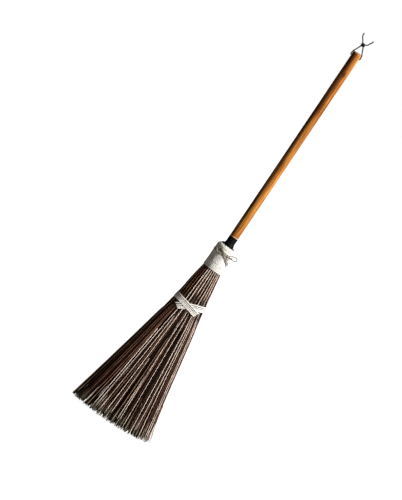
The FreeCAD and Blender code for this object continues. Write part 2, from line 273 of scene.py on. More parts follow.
def black_plastic():
    """Moulded black plastic, with a fine grain, faint rings and a little dust."""
    look = Look("socket_plastic")
    place = look.place()
    grain = look.noise(place, 2600, 3, 0.6)
    dust = look.noise(look.place((1, 1, 0.4)), 150, 5, 0.6)
    rings = look.wave(look.place(), 260, "Z")
    return look.finish({
        "Base Color": look.ramp(dust, [(0.42, (0.003, 0.003, 0.004)), (0.64, (0.005, 0.005, 0.006)),
                                       (0.82, (0.012, 0.011, 0.010))]),
        "Roughness": look.ramp(dust, [(0.35, 0.50), (0.7, 0.74)]),
        "Normal": look.bump(grain, 0.10 * MM, 0.5, look.bump(rings, 0.10 * MM, 0.18)),
        "Specular IOR Level": 0.07})


def steel(name, tone):
    look = Look(name)
    scratches = look.noise(look.place((1, 0.05, 1)), 2400, 4, 0.6)
    # tarnish blots on the steel itself
    stain_and_painted_shadow = look.noise(look.place(), 420, 4, 0.6)
    return look.finish({
        "Base Color": look.mix(look.ramp(stain_and_painted_shadow, [(0.45, 0.0), (0.75, 0.7)]), tone,
                               tuple(c * 0.35 for c in tone)),
        "Roughness": look.ramp(scratches, [(0.3, 0.28), (0.7, 0.52)]),
        "Normal": look.bump(scratches, 0.05 * MM, 0.4), "Metallic": 1.0})


def stick_wood():
    """Dark natural sticks, each with its own tone, tan streaks, and dry pale ends."""
    look = Look("stick_wood")
    tint = look.stored("tint")
    along = look.stored("along")
    fibre = look.noise(look.place((1, 0.035, 1), "UV"), 1500, 4, 0.65)
    patch = look.noise(look.place((1, 0.35, 1), "UV"), 70, 3, 0.55)
    own = look.ramp(tint, [(0.00, (0.004, 0.002, 0.001)), (0.30, (0.011, 0.005, 0.003)),
                           (0.52, (0.075, 0.031, 0.019)), (0.70, (0.250, 0.115, 0.072)),
                           (0.84, (0.700, 0.455, 0.335)), (1.00, (0.980, 0.830, 0.715))])
    colour = look.mix(look.ramp(fibre, [(0.34, 0.0), (0.68, 0.55)]), own,
                      look.mix(0.14, own, (0.36, 0.19, 0.125)))
    colour = look.mix(look.ramp(patch, [(0.34, 0.45), (0.54, 0.0)]), colour, (0.010, 0.006, 0.004))
    dry = look.plus(along, look.times(look.calc("SUBTRACT", fibre, 0.5), 0.16))
    # the dry ends' own worn colour
    wear_and_painted_shade = look.plus(look.times(tint, 0.7), look.times(patch, 0.5))
    wear_and_painted_shade = look.ramp(wear_and_painted_shade, [(0.26, (0.060, 0.042, 0.028)), (0.52, (0.300, 0.245, 0.165)),
                            (0.85, (0.780, 0.700, 0.560))])
    colour = look.mix(look.ramp(dry, [(0.91, 0.0), (0.99, 0.78)]), colour, wear_and_painted_shade)
    return look.finish({
        "Base Color": colour, "Roughness": look.ramp(patch, [(0.3, 0.48), (0.7, 0.74)]),
        "Normal": look.bump(fibre, 0.16 * MM, 0.6), "Specular IOR Level": 0.05})


LOOP_SHADOW_SQUEEZE = 1.8               # the painted shadow spot inside the bow's left loop is wider than it is high


def woven(name, pale, dark, thread, depth, soil, soiling, stripes=(), stain_and_painted_shadow=None):
    """Plain-weave cloth: crossed threads, slubs, soiling, a soft sheen, any stripes given and any
    painted shadow spot.
    """
    look = Look(name)
    place = look.place((1, 1, 1), "UV")
    parts = look.split(place)
    over = look.calc("SINE", look.times(parts[0], 2 * math.pi / thread))
    across = look.calc("SINE", look.times(parts[1], 2 * math.pi / thread))
    weave = look.times(over, across)
    slub = look.noise(place, 0.35 / thread, 4, 0.65)
    grey = look.noise(place, soil, 4, 0.6)
    level = look.plus(look.times(weave, 0.12), slub)
    colour = look.mix(look.ramp(level, [(0.32, 0.55), (0.60, 0.0)]), pale, dark)
    colour = look.mix(look.ramp(grey, [(0.40, 0.0), (0.75, soiling)]), colour, dark)
    for middle, half in stripes:
        away = look.calc("ABSOLUTE", look.calc("SUBTRACT", parts[0], middle))
        away = look.plus(look.times(away, 0.5 / half), look.times(slub, 0.3))
        colour = look.mix(look.ramp(away, [(0.48, 0.95), (0.78, 0.0)]), colour, (0.060, 0.042, 0.032))
    # painted shadow: a dark brown oval where the bow's left loop shades the canvas
    if stain_and_painted_shadow is not None:
        x, y, z = stain_and_painted_shadow
        reach = look.distance(look.place((1, 1, LOOP_SHADOW_SQUEEZE)), (x, y, z * LOOP_SHADOW_SQUEEZE))
        reach = look.plus(look.times(reach, 50.0), look.times(grey, 0.3))
        colour = look.mix(look.ramp(reach, [(0.50, 0.82), (0.68, 0.0)]), colour, (0.105, 0.078, 0.045))
    return look.finish({
        "Base Color": colour, "Roughness": look.ramp(slub, [(0.3, 0.80), (0.7, 0.95)]),
        "Normal": look.bump(weave, depth, 0.7, look.bump(slub, depth * 2, 0.5)),
        "Specular IOR Level": 0.2, "Sheen Weight": 0.25, "Sheen Roughness": 0.5})


def fibre_cord(name, pale, dark, roughness, wear_and_painted_shade=False):
    """Twisted fibres: streaks along the strand, darker between them, and painted shade darkening it to
    the right if asked.
    """
    look = Look(name)
    streak = look.noise(look.place((1, 0.12, 1), "UV"), 5200, 4, 0.7)
    blot = look.noise(look.place((1, 1, 1), "UV"), 420, 3, 0.6)
    colour = look.mix(look.ramp(streak, [(0.36, 1.0), (0.64, 0.0)]), pale, dark)
    colour = look.mix(look.ramp(blot, [(0.4, 0.0), (0.8, 0.5)]), colour, dark)
    if wear_and_painted_shade:
        # painted shade: darker towards +x, standing in for the shadow side of the bow's right loop and
        # tails
        across = look.times(look.split(look.place())[0], 20.0)
        colour = look.mix(look.ramp(across, [(0.10, 0.0), (0.45, 0.60), (0.80, 0.97)]), colour,
                          tuple(c * 0.35 for c in dark))
    return look.finish({
        "Base Color": colour,
        "Roughness": look.ramp(streak, [(0.3, roughness + 0.08), (0.7, roughness - 0.08)]),
        "Normal": look.bump(streak, 0.10 * MM, 0.8), "Specular IOR Level": 0.3})


# ---- mesh tools

def clamp(value, low=0.0, high=1.0):
    return min(max(value, low), high)


def ring_point(angle, radius=1.0, z=0.0):
    """The point at an angle round the handle's axis."""
    return Vector((radius * math.cos(angle), radius * math.sin(angle), z))


def running_lengths(line):
    """How far along a line each of its points is."""
    lengths = [0.0]
    for a, b in zip(line, line[1:]):
        lengths.append(lengths[-1] + (b - a).length)
    return lengths


def heading(line, index):
    """The direction of a line at one of its points."""
    return (line[min(index + 1, len(line) - 1)] - line[max(index - 1, 0)]).normalized()


def frames(line):
    """Two directions square to a line at each of its points, carried along it without a twist."""
    side = heading(line, 0).orthogonal()
    turns = []
    for index in range(len(line)):
        forward = heading(line, index)
        side = (side - forward * side.dot(forward)).normalized()
        turns.append((side.copy(), forward.cross(side)))
    return turns


UV_SHIFT = 7.3                    # metres of UV, so that each tint has its own part of a texture


class Shape:
    """Collects tubes and strips, and turns them into one object with UVs and two attributes."""

    def __init__(self):
        self.points, self.faces, self.uvs, self.tints, self.alongs = [], [], [], [], []

    def add_point(self, point, tint, along):
        self.points.append(point)
        self.tints.append(tint)
        self.alongs.append(along)

    def skin(self, first, sides, lengths, around, shift, ends):
        """Faces between rings of points, one for each length, and a cap at each end with its UV."""
        for index, (v0, v1) in enumerate(zip(lengths, lengths[1:])):
            for k in range(sides):
                a = first + index * sides + k
                b = first + index * sides + (k + 1) % sides
                self.faces.append((a, b, b + sides, a + sides))
                u0, u1 = k / sides * around + shift, (k + 1) / sides * around + shift
                self.uvs.append([(u0, v0), (u1, v0), (u1, v1), (u0, v1)])
        last = first + (len(lengths) - 1) * sides
        caps = range(first + sides - 1, first - 1, -1), range(last, last + sides)
        for cap, uv in zip(caps, ends):
            self.faces.append(tuple(cap))
            self.uvs.append([uv] * sides)

    def tube(self, line, radii, sides, tint=0.0, oval=1.0):
        """A closed tube with flat ends. The UV is round the tube and along it, in metres."""
        first = len(self.points)
        line = [Vector(p) for p in line]
        lengths = running_lengths(line)
        for index, (point, (across, up)) in enumerate(zip(line, frames(line))):
            for k in range(sides):
                angle = 2 * math.pi * k / sides
                radius = radii[index]
                offset = across * (math.cos(angle) * radius) + up * (math.sin(angle) * radius * oval)
                self.add_point(point + offset, tint, index / (len(line) - 1))
        shift = tint * UV_SHIFT
        self.skin(first, sides, lengths, 2 * math.pi * max(radii), shift,
                  [(shift, 0.0), (shift, lengths[-1])])

    def grid(self, rows, closed=False):
        """A sheet from rows of (point, u, v)."""
        first = len(self.points)
        width = len(rows[0])
        for row in rows:
            for point, _, _ in row:
                self.add_point(Vector(point), 0.0, 0.0)
        columns = width if closed else width - 1
        for r in range(len(rows) - 1):
            for c in range(columns):
                d = (c + 1) % width
                a, b = first + r * width + c, first + r * width + d
                self.faces.append((a, b, b + width, a + width))
                wrap = 1 if d == 0 else 0
                u_next = rows[r][c][1] * 2 - rows[r][c - 1][1] if wrap else rows[r][d][1]
                self.uvs.append([(rows[r][c][1], rows[r][c][2]), (u_next, rows[r][c][2]),
                                 (u_next, rows[r + 1][c][2]), (rows[r + 1][c][1], rows[r + 1][c][2])])

    def build(self, name, material):
        mesh = bpy.data.meshes.new(name)
        mesh.from_pydata(self.points, [], self.faces)
        layer = mesh.uv_layers.new(name="UVMap")
        flat = [value for face in self.uvs for corner in face for value in corner]
        layer.data.foreach_set("uv", flat)
        for key, values in (("tint", self.tints), ("along", self.alongs)):
            attribute = mesh.attributes.new(key, "FLOAT", "POINT")
            attribute.data.foreach_set("value", values)
        mesh.polygons.foreach_set("use_smooth", [len(f) == 4 for f in self.faces])
        mesh.validate()
        mesh.materials.append(material)
        made = bpy.data.objects.new(name, mesh)
        bpy.context.scene.collection.objects.link(made)
        return made


def route_line(name, route):
    """Points along the smooth spline that has the route's points as its control points."""
    data = bpy.data.curves.new(name, "CURVE")
    data.dimensions = "3D"
    data.resolution_u = 10
    spline = data.splines.new("NURBS")
    spline.points.add(len(route) - 1)
    for control, point in zip(spline.points, route):
        control.co = (*point, 1)
    spline.order_u = 3
    spline.use_endpoint_u = True
    holder = bpy.data.objects.new(name, data)
    bpy.context.scene.collection.objects.link(holder)
    mesh = bpy.data.meshes.new_from_object(holder)
    line = [v.co.copy() for v in mesh.vertices]
    bpy.data.objects.remove(holder)
    bpy.data.meshes.remove(mesh)
    return line


def even(line, step):
    """The same line with points an even step apart."""
    lengths = running_lengths(line)
    count = max(2, round(lengths[-1] / step))
    spaced = []
    index = 0
    for k in range(count + 1):
        goal = lengths[-1] * k / count
        while index < len(line) - 2 and lengths[index + 1] < goal:
            index += 1
        share = (goal - lengths[index]) / max(lengths[index + 1] - lengths[index], 1e-12)
        spaced.append(line[index].lerp(line[index + 1], min(share, 1.0)))
    return spaced


def line_length(line):
    return sum((b - a).length for a, b in zip(line, line[1:]))


def rope(shape, line, radius, strands, pitch, own=0.56, fuzz=0):
    """Laid strands along a line, as one skin, with fuzz stray fibres to a metre.

    own is a strand's radius, as a share of the rope's.
    """
    line = even(line, pitch / 12)
    turns = frames(line)
    step = line_length(line) / (len(line) - 1)
    own_radius = radius * own
    reach = radius - own_radius
    sides = strands * 6
    lobe = 2 * math.pi / strands
    outline = []
    for k in range(sides):
        off = (2 * math.pi * k / sides) % lobe
        off = min(off, lobe - off)
        outline.append(reach * math.cos(off) + math.sqrt(own_radius ** 2 - (reach * math.sin(off)) ** 2))
    first = len(shape.points)
    for index, (point, (across, up)) in enumerate(zip(line, turns)):
        slub = 1 + 0.07 * noise.noise(point * 700)
        for k in range(sides):
            angle = 2 * math.pi * (index * step / pitch + k / sides)
            spot = across * math.cos(angle) + up * math.sin(angle)
            shape.add_point(point + spot * (outline[k] * slub), 0.5, index / (len(line) - 1))
    lengths = [index * step for index in range(len(line))]
    shape.skin(first, sides, lengths, 2 * math.pi * radius, 0.0, [(0.0, 0.0), (0.0, 0.0)])
    for _ in range(int(line_length(line) * fuzz)):
        index = draw.randrange(1, len(line) - 1)
        across, up = turns[index]
        angle = draw.uniform(0, 2 * math.pi)
        out = across * math.cos(angle) + up * math.sin(angle)
        lean = heading(line, index) * draw.uniform(-1.2, 1.2)
        root = line[index] + out * radius * 0.7
        middle = root + (out + lean) * draw.uniform(0.3, 0.8) * MM
        tip = middle + (out * 0.4 + lean) * draw.uniform(0.3, 1.0) * MM
        shape.tube([root, middle, tip], [0.06 * MM, 0.05 * MM, 0.025 * MM], 3, tint=draw.random())


# ---- sticks

STICKS, RINGS, STICK_SIDES = 760, 4, 6
SKIN_STICKS = 80                  # on the outside, at the front and again at the back
SKIN_CYCLE = 14                   # after so many of them the pattern of pale and brown ones repeats
PALE_PLACES, BROWN_PLACES = (0, 3, 7, 10), (2, 5, 9, 12)
SPLIT_TIPS = 210
DRIFT_U, DRIFT_V = 0.030, 0.045   # how far sticks stray over the section on their way to the tips
SHORT_SHARE = 0.10                # of the sticks end 6 to 38 mm higher than their neighbours
EDGE_U = 0.92                     # the fan's narrow sides begin here
EDGE_TONES = (0.52, 0.08, 0.78, 0.62, 0.12)    # of the sticks on the fan's two narrow sides, in turn
BUTT_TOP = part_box("stick_butts_1")[1].z - 4 * MM
BUTT_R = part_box("stick_butts_1")[1].x - 0.9 * MM
CORE_R, SPIGOT_R = 6.3 * MM, 13.3 * MM
SPIGOT_LOW, SPIGOT_HIGH = 0.543, 0.557
BAND_Z = 0.390                    # the sticks stray and bow only below this
TIED_Z = 0.380                    # the middle of the stretch that the tape presses in
CORNER_RISE = 9 * MM              # how much higher the fan's corners are than its middle
TIP_SET = 4.5 * MM                # how far the tips lean to the left
EVEN_SHARE = 0.75                 # how evenly the sticks spread over the fan's width at its tips
# height, half width and half thickness of the fan
FAN = [(0.000, 0.1240, 0.0345), (0.100, 0.1035, 0.0315), (0.200, 0.0830, 0.0285),
       (0.300, 0.0625, 0.0256), (0.350, 0.0522, 0.0242), (0.390, 0.0442, 0.0233),
       (0.425, 0.0392, 0.0238), (0.458, 0.0348, 0.0249), (0.485, 0.0299, 0.0256),
       (0.497, 0.0276, 0.0258), (0.512, 0.0248, 0.0248)]
STICK_LEVELS = (0.530, 0.512, 0.497, 0.485, 0.470, 0.450, 0.430, 0.412, 0.400, 0.380, 0.360, 0.345,
                0.325, 0.300, 0.270, 0.225, 0.180, 0.135, 0.095, 0.055)
SQUARE = 2.7                      # power of the fan's flattened oval section below the cuff


def power(z):
    """The section's power: an ellipse's at the cuff's mouth, and SQUARE from 50 mm below it."""
    return 2.0 + (SQUARE - 2.0) * clamp((FLEX_Z - z) / 0.05)


def flatten(u, v, z):
    """How much further out than an ellipse the flattened section is, in the direction of (u, v)."""
    reach = max(math.hypot(u, v), 1e-6)
    p = power(z)
    return (abs(u / reach) ** p + abs(v / reach) ** p) ** (-1 / p)


# height, and how much further in the fan's right edge is than its left edge
RIGHT_IN = [(0.000, 7.5 * MM), (0.150, 5.5 * MM), (0.250, 3.4 * MM), (0.350, 1.6 * MM),
            (0.400, 1.2 * MM), (0.440, 3.0 * MM), (0.480, 2.8 * MM), (0.512, 0.4 * MM)]


def read_table(table, z):
    """The other columns of a table of heights, straight between its rows."""
    z = clamp(z, table[0][0], table[-1][0])
    index = max(i for i in range(len(table) - 1) if table[i][0] <= z)
    low, high = table[index], table[index + 1]
    share = (z - low[0]) / (high[0] - low[0])
    return tuple(a + (b - a) * share for a, b in zip(low[1:], high[1:]))


def fan_half(z):
    """Half width and half thickness of the fan at height z."""
    return read_table(FAN, z)


def bundle_point(u, v, z):
    """Where a stick with place (u, v) in the bundle is at height z, inside the cuff or below it."""
    reach = math.hypot(u, v)
    if z <= FAN[-1][0]:
        width, thickness = fan_half(z)
        down = clamp((FLEX_Z - z) / FLEX_Z)
        further = flatten(u, v, z)
        held = clamp(u, -1.0, 1.0)
        spread = 2 * (held * math.sqrt(1 - held * held) + math.asin(held)) / math.pi + u - held
        x = (u + (spread - u) * EVEN_SHARE * down) * width * min(further, 1.03)
        x -= max(u, 0.0) * read_table(RIGHT_IN, z)[0]
        return x, v * thickness * further
    lift = clamp((z - SPIGOT_LOW) / (SPIGOT_HIGH - SPIGOT_LOW))
    inner = CORE_R + (SPIGOT_R - CORE_R) * lift
    ease = min((z - FAN[-1][0]) / (4 * MM), 1.0)
    radius = math.sqrt((inner * ease) ** 2 + reach * reach * (BUTT_R ** 2 - (inner * ease) ** 2))
    angle = math.atan2(v, u)
    return radius * math.cos(angle), radius * math.sin(angle)


def stick_tone():
    """Most sticks of the bundle are dark, some are brown and a few are pale."""
    chance = draw.random()
    if chance < 0.04:
        return draw.uniform(0.78, 0.94)
    if chance < 0.18:
        return draw.uniform(0.48, 0.68)
    return draw.uniform(0.0, 0.38)


def make_sticks():
    """All the sticks, whole from the socket's core to the tips, in rings of the bundle."""
    golden = math.pi * (3 - math.sqrt(5))
    rings = [Shape() for _ in range(RINGS)]
    for index in range(STICKS):
        reach = math.sqrt((index + 0.5) / STICKS)
        angle = index * golden
        u, v = reach * math.cos(angle), reach * math.sin(angle)
        drift_u = draw.gauss(0, DRIFT_U)
        drift_v = draw.gauss(0, DRIFT_V)
        bow = draw.gauss(0, 1.7) * MM
        bow_side = draw.gauss(0, 1.6) * MM
        if u < -0.6:
            drift_u = min(abs(drift_u), 0.05) - 0.02 if u > -0.9 else 0.0
            bow = abs(bow) if u < -0.8 else bow
        tip_u = u + drift_u
        edge = min(abs(tip_u), 1.0)
        tip = CORNER_RISE * edge * edge + abs(draw.gauss(0, 5.0)) * MM + 0.6 * MM
        if draw.random() < SHORT_SHARE:
            tip += draw.uniform(6, 38) * MM
        if u > 0.70:
            tip += draw.uniform(0, 18) * MM
        tone = stick_tone()
        thick = draw.uniform(0.82, 1.04) * MM + (0.26 * MM if tone > 0.8 else 0.0)
        top = BUTT_TOP - draw.uniform(0, 6) * MM
        line, radii = [], []
        for z in (top, *STICK_LEVELS, (tip + STICK_LEVELS[-1]) / 2, tip):
            down = clamp((BAND_Z - z) / BAND_Z)
            x, y = bundle_point(u + drift_u * down, v + drift_v * down, z)
            swing = math.sin(math.pi * down)
            x += bow * swing + 0.5 * MM * noise.noise(Vector((index * 3.1, z * 14, 0))) * (down > 0)
            y += bow_side * swing
            x -= TIP_SET * down * down
            line.append((x, y, z))
            radii.append(thick * (0.76 if z > FLEX_Z else 1.0 - 0.18 * down))
        ring = rings[min(int(reach * reach * RINGS), RINGS - 1)]
        ring.tube(line, radii, STICK_SIDES, tint=tone, oval=draw.uniform(0.8, 1.0))
    return rings


def make_skin_sticks():
    """Sticks on the outside, front and back: pale and brown ones with dark ones between."""
    shape = Shape()
    for side in (-1, 1):
        for index in range(SKIN_STICKS):
            u = -1.0 + 2.0 * (index + 0.5 + draw.uniform(-0.25, 0.25)) / SKIN_STICKS
            u = 0.65 * u + 0.35 * math.sin(math.pi / 2 * u)    # closer together towards the sides
            place = index % SKIN_CYCLE
            pale = place in (PALE_PLACES if u < 0.3 else PALE_PLACES[:3]) and -0.93 < u < 0.90
            brown = place in BROWN_PLACES and -0.5 < u < 0.86
            v = side * math.sqrt(max(1 - u * u, 0.0)) * draw.uniform(0.97, 1.03)
            top = draw.uniform(0.50, 0.53) if draw.random() < 0.75 else draw.uniform(0.30, 0.42)
            if pale:
                under_tape, lower = draw.uniform(0.380, 0.388), draw.uniform(0.16, 0.33)
                top = {3: under_tape, 10: lower if abs(u) < 0.85 else under_tape}.get(place, 0.52)
            tip = CORNER_RISE * u * u + draw.uniform(0.5, 26 if pale else 8) * MM
            drift = draw.gauss(0, DRIFT_U) * (1 - u * u)
            bow = draw.gauss(0, 1.6) * MM * (1 - u * u)
            thick = draw.uniform(0.90, 1.15) * MM if pale or brown else draw.uniform(1.1, 1.4) * MM
            tone = draw.uniform(0.94, 1.0) if pale else draw.uniform(0.0, 0.24)
            if brown:
                tone = draw.uniform(0.60, 0.74) - 0.08 * max(u, 0.0)
            elif pale and u < -0.5:
                tone = draw.uniform(0.62, 0.86)
            if abs(u) > EDGE_U:
                tone = EDGE_TONES[index * side % len(EDGE_TONES)]
            line, radii = [], []
            levels = [z for z in STICK_LEVELS if z < top - 0.01]
            for z in (top, *levels, (tip + levels[-1]) / 2, tip):
                down = clamp((BAND_Z - z) / BAND_Z)
                tied = clamp((0.050 - abs(z - TIED_Z)) / 0.020)
                proud = 0.0 if z > FLEX_Z else ((1.0 if pale else 0.2) - 2.2 * tied) * MM
                width, thickness = fan_half(z)
                x, y = bundle_point((u + drift * down) * (1 + proud / width),
                                    v * (1 + proud / thickness), z)
                if z < top and z > FLEX_Z - 4 * MM:
                    y *= 0.97
                x += bow * math.sin(math.pi * down) - TIP_SET * down * down
                line.append((x, y, z))
                radii.append(thick * (0.8 if z > FLEX_Z else 1.0 - 0.22 * down))
            shape.tube(line, radii, STICK_SIDES, tint=tone, oval=draw.uniform(0.8, 1.0))
    return shape


def make_split_tips():
    """Thin split fibres that stand off the lower ends, more of them on the right."""
    shape = Shape()
    for index in range(SPLIT_TIPS):
        right = index % 3 != 0
        u = draw.uniform(0.40, 1.04) if right else draw.uniform(-1.0, 0.40)
        v = draw.uniform(-0.95, 0.95) * math.sqrt(max(1 - min(u * u, 0.97), 0.03))
        root = draw.uniform(0.07, 0.19)
        tip = CORNER_RISE * u * u + draw.uniform(0.5, 14) * MM
        lean = draw.gauss(0.002 if right else 0.0, 0.004)
        line, radii = [], []
        for k in range(7):
            share = k / 6
            z = root + (tip - root) * share
            x, y = bundle_point(u, v, z)
            down = (BAND_Z - z) / BAND_Z
            x += lean * share * share - TIP_SET * down * down
            y += 1.5 * MM * math.sin(share * 3 + index)
            line.append((x, y, z))
            radii.append((0.62 - 0.28 * share) * MM)
        shape.tube(line, radii, 5, tint=draw.uniform(0.35, 0.95))
    return shape


def blend_to_fan(piece):
    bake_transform(piece)


def add_sticks(material):
    stands_for = [["stick_row_4", "stick_row_5", "stick_row_6", "stick_butts_1", "stick_butts_2"],
                  ["stick_row_3", "stick_row_7", "stick_butts_3", "stick_butts_4"],
                  ["stick_row_2", "stick_row_8", "stick_butts_5", "stick_butts_6"],
                  ["stick_row_1", "stick_row_9", "stick_butts_7", "stick_butts_8"]]
    for number, (shape, nodes) in enumerate(zip(make_sticks(), stands_for), 1):
        piece = shape.build("sticks_ring_%d" % number, material)
        blend_to_fan(piece)
        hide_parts(*nodes)
    skin = make_skin_sticks().build("sticks_outside", material)
    blend_to_fan(skin)
    splits = make_split_tips().build("split_tips", material)
    blend_to_fan(splits)


# ---- cuff

CUFF_COLUMNS, CUFF_STEPS = 300, 96
TWINE_Z = 0.5501
CREASE_Z = 0.5180
PLEAT_END_Z = 0.5075
LOW_HEM_TOP, HIGH_HEM_BOTTOM = 0.5070, 0.5622
STITCH_ROWS = (0.5024, 0.5056, 0.5630)
STITCHES_ROUND = 62
BACK_SEAM = math.radians(84)
# (inwards from the cone, down from the top) in millimetres, over the gathered shoulder to the neck
SHOULDER = ((0.2, 6.3), (0.6, 5.4), (1.2, 4.4), (2.0, 3.3), (2.9, 2.3), (3.9, 1.4), (4.9, 0.8),
            (5.7, 0.5), (6.3, 0.6), (6.7, 1.1), (6.9, 1.9))


def cuff_radius(z):
    share = (z - CUFF_BOTTOM) / (CUFF_TOP - CUFF_BOTTOM)
    return CUFF_R_BOTTOM + (CUFF_R_TOP - CUFF_R_BOTTOM) * share


def hump(value, centre, width):
    """A smooth bell of height 1."""
    return math.exp(-((value - centre) / width) ** 2)


def cuff_relief(angle, z):
    """How far the canvas stands out from its plain cone: hems, gathers, crease, pleats and wrinkles."""
    ring = ring_point(angle)
    relief = 0.80 * MM * noise.noise(ring * 1.7 + Vector((0, 0, z * 26)))
    relief += 0.16 * MM * noise.noise(ring * 4.0 + Vector((3, 0, z * 50)))
    # gathers where the twine draws it in
    pull = hump(z, TWINE_Z, 2.0 * MM)
    near = hump(z, TWINE_Z, 9 * MM)
    gathers = noise.noise(ring * 6.5 + Vector((0, 7, z * 12)))
    relief += -0.75 * MM * pull + 0.45 * MM * gathers * near * (1 - 0.6 * pull)
    # the tuck: the cloth above overhangs a groove, and pleats run down from it
    groove = hump(z, CREASE_Z - 0.6 * MM, 0.9 * MM)
    overhang = hump(z, CREASE_Z + 2.2 * MM, 2.6 * MM)
    amount = 0.65 + 0.35 * noise.noise(ring * 1.3 + Vector((5, 5, 0)))
    relief += amount * (0.60 * MM * overhang - 1.0 * MM * groove)
    below = clamp((CREASE_Z - z) / (2 * MM)) * clamp((z - PLEAT_END_Z) / (2 * MM))
    pleats = math.sin(angle * 38 + 3.0 * noise.noise(ring * 2.5))
    relief += 0.60 * MM * below * pleats * (0.7 + 0.7 * noise.noise(ring * 3.1 + Vector((0, 0, 9))))
    # doubled cloth of the hems, and the pull of each stitch row
    if z < LOW_HEM_TOP:
        relief += 0.45 * MM
    if z > HIGH_HEM_BOTTOM:
        relief += 0.35 * MM
    for row in STITCH_ROWS:
        relief -= 0.50 * MM * hump(z, row, 0.55 * MM)
        relief += 0.10 * MM * hump(z, row, 1.6 * MM) * math.sin(angle * 92)
    return relief


def hem_lift(angle, z):
    """How much the uneven lower hem stands above the plain cone's edge, higher on the left."""
    low_end = clamp((CUFF_BOTTOM + 9 * MM - z) / (6 * MM))
    ring = ring_point(angle)
    wander = 0.5 * MM * noise.noise(ring * 2.8 + Vector((6, 2, 0)))
    return low_end * (wander + 1.3 * MM - 1.2 * MM * ring.x)


def cuff_profile():
    """(distance inwards from the cone, height) round the cloth's edge, from inside below to the lip."""
    profile = [(2.3 * MM, CUFF_BOTTOM + 12 * MM), (2.1 * MM, CUFF_BOTTOM + 6 * MM),
               (1.8 * MM, CUFF_BOTTOM + 1.6 * MM), (1.2 * MM, CUFF_BOTTOM + 0.5 * MM),
               (0.5 * MM, CUFF_BOTTOM + 0.2 * MM), (0.1 * MM, CUFF_BOTTOM + 0.7 * MM)]
    start, end = CUFF_BOTTOM + 1.2 * MM, CUFF_TOP - 7.0 * MM
    for k in range(CUFF_STEPS + 1):
        profile.append((0.0, start + (end - start) * k / CUFF_STEPS))
    for inwards, drop in SHOULDER:
        profile.append((inwards * MM, CUFF_TOP - drop * MM))
    return profile


def add_cuff(canvas, thread):
    rows = []
    length = 0.0
    before = None
    for inwards, z in cuff_profile():
        radius = cuff_radius(z) - inwards
        if before is not None:
            length += math.hypot(radius - before[0], z - before[1])
        before = (radius, z)
        outside = 1.0 if inwards == 0 else max(0.0, 1 - inwards / (1.6 * MM))
        row = []
        for c in range(CUFF_COLUMNS):
            angle = 2 * math.pi * c / CUFF_COLUMNS
            ring = ring_point(angle)
            out = radius + outside * cuff_relief(angle, z)
            lift = 0.0
            if z > CUFF_TOP - 9 * MM:
                near_top = min((z - CUFF_TOP + 9 * MM) / (6 * MM), 1.0)
                lift = near_top * (0.5 * MM * noise.noise(ring * 2.0 + Vector((1, 8, inwards * 40)))
                                   - (1.5 if ring.x > 0 else 0.5) * MM * ring.x)
                # folds that fan out from the neck
                fold = math.sin(angle * 17 + 2.5 * noise.noise(ring * 2.2 + Vector((0, 3, 0))))
                lift += near_top * 0.45 * MM * fold * (0.7 + 0.5 * noise.noise(ring * 2.7))
            lift += hem_lift(angle, z)
            row.append((ring_point(angle, out, z + lift), angle * CUFF_R_BOTTOM, length))
        rows.append(row)
    shape = Shape()
    shape.grid(rows, closed=True)
    piece = shape.build("canvas_cuff", canvas)
    thicken(piece, 0.7 * MM, -1)
    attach(piece, "pole")
    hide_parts("cuff")
    stitches = Shape()
    for row in STITCH_ROWS:
        for k in range(STITCHES_ROUND):
            stitch_on_cuff(stitches, 2 * math.pi * k / STITCHES_ROUND,
                           2 * math.pi * (k + 0.66) / STITCHES_ROUND, row, row)
    for angle in (BACK_SEAM, BACK_SEAM + 0.11):
        for k in range(21):
            z = 0.5085 + k * 2.75 * MM
            stitch_on_cuff(stitches, angle, angle, z, z + 1.9 * MM)
    sewn = stitches.build("cuff_stitching", thread)
    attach(sewn, "pole")


def stitch_on_cuff(shape, angle_a, angle_b, z_a, z_b):
    line = []
    for share, out in ((0.0, -0.30), (0.12, 0.12), (0.5, 0.26), (0.88, 0.12), (1.0, -0.30)):
        angle = angle_a + (angle_b - angle_a) * share
        z = z_a + (z_b - z_a) * share
        radius = cuff_radius(z) + cuff_relief(angle, z) + out * MM
        line.append(ring_point(angle, radius, z + hem_lift(angle, z)))
    shape.tube(line, [0.26 * MM, 0.34 * MM, 0.36 * MM, 0.34 * MM, 0.26 * MM], 6, tint=draw.random())


def thicken(piece, thickness, offset):
    """Give a sheet its real thickness, in its mesh."""
    modifier = piece.modifiers.new("thickness", "SOLIDIFY")
    modifier.thickness = thickness
    modifier.offset = offset
    modifier.use_even_offset = False
    graph = bpy.context.evaluated_depsgraph_get()
    solid = bpy.data.meshes.new_from_object(piece.evaluated_get(graph))
    piece.modifiers.clear()
    piece.data = solid


# ---- twine and its bow

TWINE_R = 0.9 * MM
TWINE_SKIN_R = 1.03 * MM          # over the crowns of the strands
TWINE_PITCH = 4.2 * MM
WRAP_Z = (0.5512, 0.5490)
BOW_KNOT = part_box("bow_knot")
# offsets in millimetres from the knot's middle, for the two turns that cross over it
BRIDGES = (((-4.6, 0.4, 2.2), (-2.4, 0.2, 1.4), (0.4, 0.1, 0.2), (2.6, 0.2, -1.4), (4.4, 0.5, -2.4)),
           ((-4.6, 0.6, -2.2), (-2.0, 0.8, -1.6), (0.6, 0.9, 0.4), (2.8, 0.5, 2.0), (4.2, 0.0, 2.8)))
